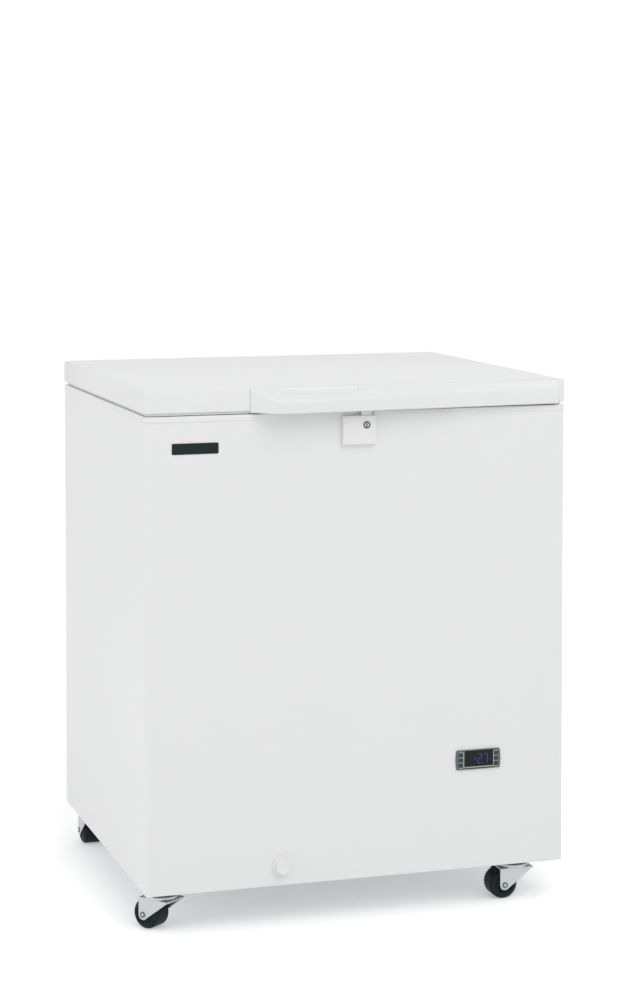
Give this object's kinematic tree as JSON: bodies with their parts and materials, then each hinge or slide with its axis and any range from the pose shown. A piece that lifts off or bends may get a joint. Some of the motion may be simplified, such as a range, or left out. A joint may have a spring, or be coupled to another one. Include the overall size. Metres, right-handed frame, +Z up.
{
  "type": "medical freezer",
  "caption": "Small low-temperature chest freezer with a hinged lid, tapering front handle, lock, digital controller and swivel casters.",
  "frame": {"origin": "on the floor under the middle of the closed freezer's box", "axes": "+Z up, +Y to the back, +X to the right seen from the front"},
  "size_m": [0.722, 0.695, 0.88],
  "materials": {
    "white_enamel": "smooth powder coat, satin",
    "galvanised_sheet": "galvanised sheet, satin",
    "foam": "rigid polyurethane foam",
    "tank_sheet": "stucco aluminium sheet",
    "aluminium_tube": "drawn tube",
    "white_plastic": "moulded, satin",
    "handle_plastic": "moulded, satin",
    "black_enamel": "baked enamel, gloss",
    "black_rubber": "matt",
    "black_plastic": "matt",
    "copper": "drawn copper",
    "zinc_steel": "zinc plated, stamped",
    "lock_metal": "dark nickel",
    "black_badge": "gloss black, bare",
    "grey_plastic": "moulded, satin",
    "dark_window": "smoked window, gloss",
    "key_plastic": "soft-touch keys",
    "grey_gasket": "soft vinyl",
    "wheel_black": "moulded nylon"
  },
  "bodies": {
    "cabinet": {"back_panel": "galvanised_sheet", "badge_plate": "black_badge", "base_pan": "galvanised_sheet", "caster_bolts": "zinc_steel", "caster_plates": "zinc_steel", "compressor": "black_enamel", "compressor_grommets": "black_rubber", "compressor_relay": "black_plastic", "controller_bezel": "grey_plastic", "controller_case": "black_plastic", "controller_window": "dark_window", "drain_tube": "white_plastic", "evaporator_coil": "aluminium_tube", "filter_drier": "copper", "foam_body": "foam", "hinge_bracket_left": "zinc_steel", "hinge_bracket_right": "zinc_steel", "hinge_pins": "zinc_steel", "inner_liner": "tank_sheet", "lock_housing": "white_plastic", "outer_shell": "white_enamel", "panel_screws": "zinc_steel", "power_inlet": "black_plastic", "refrigerant_pipes": "copper", "service_grille": "galvanised_sheet", "side_grille": "white_plastic", "top_trim": "white_plastic"},
    "lid": {"lid_skin": "white_enamel", "lid_liner": "white_plastic", "lid_foam": "foam", "lid_gasket": "grey_gasket", "lid_handle": "handle_plastic", "lock_strike": "zinc_steel", "hinge_leaf_left": "zinc_steel", "hinge_leaf_right": "zinc_steel"},
    "lock": {"lock_barrel": "lock_metal", "lock_cam": "lock_metal"},
    "drain_cap": {"drain_cap": "white_plastic"},
    "key_1": {"key_1": "key_plastic"},
    "key_2": {"key_2": "key_plastic"},
    "key_3": {"key_3": "key_plastic"},
    "key_4": {"key_4": "key_plastic"},
    "key_5": {"key_5": "key_plastic"},
    "key_6": {"key_6": "key_plastic"},
    "fork_front_left": {"caster_fork_front_left": "zinc_steel", "caster_axle_front_left": "zinc_steel"},
    "wheel_front_left": {"caster_wheel_front_left": "wheel_black"},
    "fork_front_right": {"caster_fork_front_right": "zinc_steel", "caster_axle_front_right": "zinc_steel"},
    "wheel_front_right": {"caster_wheel_front_right": "wheel_black"},
    "fork_rear_left": {"caster_fork_rear_left": "zinc_steel", "caster_axle_rear_left": "zinc_steel"},
    "wheel_rear_left": {"caster_wheel_rear_left": "wheel_black"},
    "fork_rear_right": {"caster_fork_rear_right": "zinc_steel", "caster_axle_rear_right": "zinc_steel"},
    "wheel_rear_right": {"caster_wheel_rear_right": "wheel_black"}
  },
  "joints": [
    {"name": "lid_hinge", "type": "hinge", "parent": "cabinet", "child": "lid", "pos_m": [0, 0.3395, 0.835], "axis": [-1, 0, 0], "range_deg": [0, 80]},
    {"name": "lock_turn", "type": "hinge", "parent": "cabinet", "child": "lock", "pos_m": [0.0085, -0.2995, 0.8148], "axis": [0, 1, 0], "range_deg": [0, 90]},
    {"name": "drain_pull", "type": "slide", "parent": "cabinet", "child": "drain_cap", "axis": [0, -1, 0], "range_m": [0, 0.035]},
    {"name": "key_1_press", "type": "slide", "parent": "cabinet", "child": "key_1", "axis": [0, 1, 0], "range_m": [0, 0.0005], "stiffness_N_per_m": 600},
    {"name": "key_2_press", "type": "slide", "parent": "cabinet", "child": "key_2", "axis": [0, 1, 0], "range_m": [0, 0.0005], "stiffness_N_per_m": 600},
    {"name": "key_3_press", "type": "slide", "parent": "cabinet", "child": "key_3", "axis": [0, 1, 0], "range_m": [0, 0.0005], "stiffness_N_per_m": 600},
    {"name": "key_4_press", "type": "slide", "parent": "cabinet", "child": "key_4", "axis": [0, 1, 0], "range_m": [0, 0.0005], "stiffness_N_per_m": 600},
    {"name": "key_5_press", "type": "slide", "parent": "cabinet", "child": "key_5", "axis": [0, 1, 0], "range_m": [0, 0.0005], "stiffness_N_per_m": 600},
    {"name": "key_6_press", "type": "slide", "parent": "cabinet", "child": "key_6", "axis": [0, 1, 0], "range_m": [0, 0.0005], "stiffness_N_per_m": 600},
    {"name": "swivel_front_left", "type": "hinge", "parent": "cabinet", "child": "fork_front_left", "pos_m": [-0.3225, -0.2495, 0.068], "axis": [0, 0, 1], "continuous": true},
    {"name": "roll_front_left", "type": "hinge", "parent": "fork_front_left", "child": "wheel_front_left", "pos_m": [-0.33514, -0.23273, 0.0245], "axis": [0.7986, 0.6018, 0], "continuous": true},
    {"name": "swivel_front_right", "type": "hinge", "parent": "cabinet", "child": "fork_front_right", "pos_m": [0.2885, -0.2495, 0.068], "axis": [0, 0, 1], "continuous": true},
    {"name": "roll_front_right", "type": "hinge", "parent": "fork_front_right", "child": "wheel_front_right", "pos_m": [0.2675, -0.2495, 0.0245], "axis": [0, 1, 0], "continuous": true},
    {"name": "swivel_rear_left", "type": "hinge", "parent": "cabinet", "child": "fork_rear_left", "pos_m": [-0.3225, 0.2605, 0.068], "axis": [0, 0, 1], "continuous": true},
    {"name": "roll_rear_left", "type": "hinge", "parent": "fork_rear_left", "child": "wheel_rear_left", "pos_m": [-0.3225, 0.2815, 0.0245], "axis": [1, 0, 0], "continuous": true},
    {"name": "swivel_rear_right", "type": "hinge", "parent": "cabinet", "child": "fork_rear_right", "pos_m": [0.2885, 0.2605, 0.068], "axis": [0, 0, 1], "continuous": true},
    {"name": "roll_rear_right", "type": "hinge", "parent": "fork_rear_right", "child": "wheel_rear_right", "pos_m": [0.3057, 0.27254, 0.0245], "axis": [0.5736, -0.8192, 0], "continuous": true}
  ]
}
